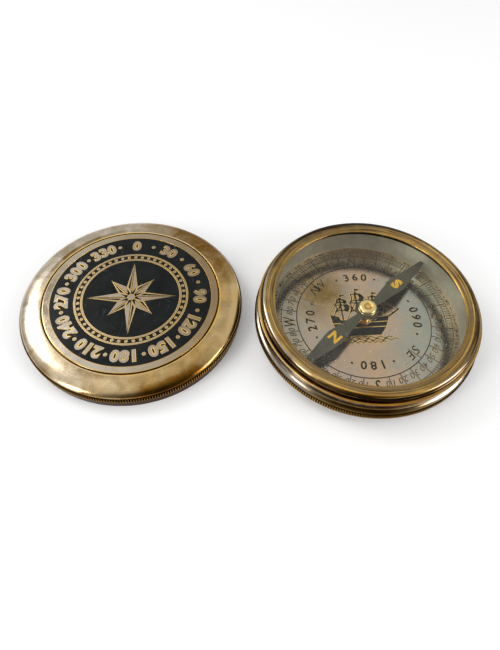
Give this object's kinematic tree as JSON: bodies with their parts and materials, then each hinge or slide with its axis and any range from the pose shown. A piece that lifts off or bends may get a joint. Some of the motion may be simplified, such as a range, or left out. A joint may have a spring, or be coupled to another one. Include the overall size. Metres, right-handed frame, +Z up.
{
  "type": "brass compass with screw lid",
  "caption": "Round brass pocket compass with a knurled case, glass over an etched dial, a free-swinging needle, and its domed screw lid lying beside it.",
  "frame": {"origin": "centre of the case's underside, on the surface it stands on", "axes": "+Z up along the needle's pivot, +Y towards the dial's north mark, +X towards the dial's east mark; the lid lies to the -X side"},
  "size_m": [0.1541, 0.084, 0.0139],
  "materials": {
    "antique_brass": "satin, with a brown patina",
    "polished_brass": "polished",
    "plated_brass": "worn nickel plate over brass, satin",
    "silvered_dial": "silvered, tarnished and etched",
    "inner_wall": "polished, grey patina",
    "black_enamel": "gloss, with fine scratches",
    "needle_steel": "dark olive, semi-matt",
    "pivot_steel": "hardened and polished",
    "jewel_cup": "polished",
    "gasket_rubber": "matt black",
    "window_glass": "clear"
  },
  "bodies": {
    "case": {"case_ring": "antique_brass", "base_plate": "antique_brass", "dial_plate": "silvered_dial", "pivot_boss": "polished_brass", "pivot_pin": "pivot_steel", "spacer_sleeve": "inner_wall", "glass": "window_glass", "glass_gasket": "gasket_rubber", "bezel_ring": "antique_brass"},
    "needle": {"needle_blade": "needle_steel", "needle_hub": "polished_brass", "needle_collar": "polished_brass", "needle_jewel": "jewel_cup"},
    "lid": {"lid_ring": "antique_brass", "medallion_plate": "plated_brass", "medallion_enamel": "black_enamel"}
  },
  "joints": [
    {"name": "needle_swing", "type": "hinge", "parent": "case", "child": "needle", "pos_m": [0, 0, 0], "axis": [0, 0, 1], "continuous": true},
    {"name": "lid_lift", "type": "slide", "parent": "case", "child": "lid", "axis": [0, 0, 1], "range_m": [0, 0.03]}
  ]
}
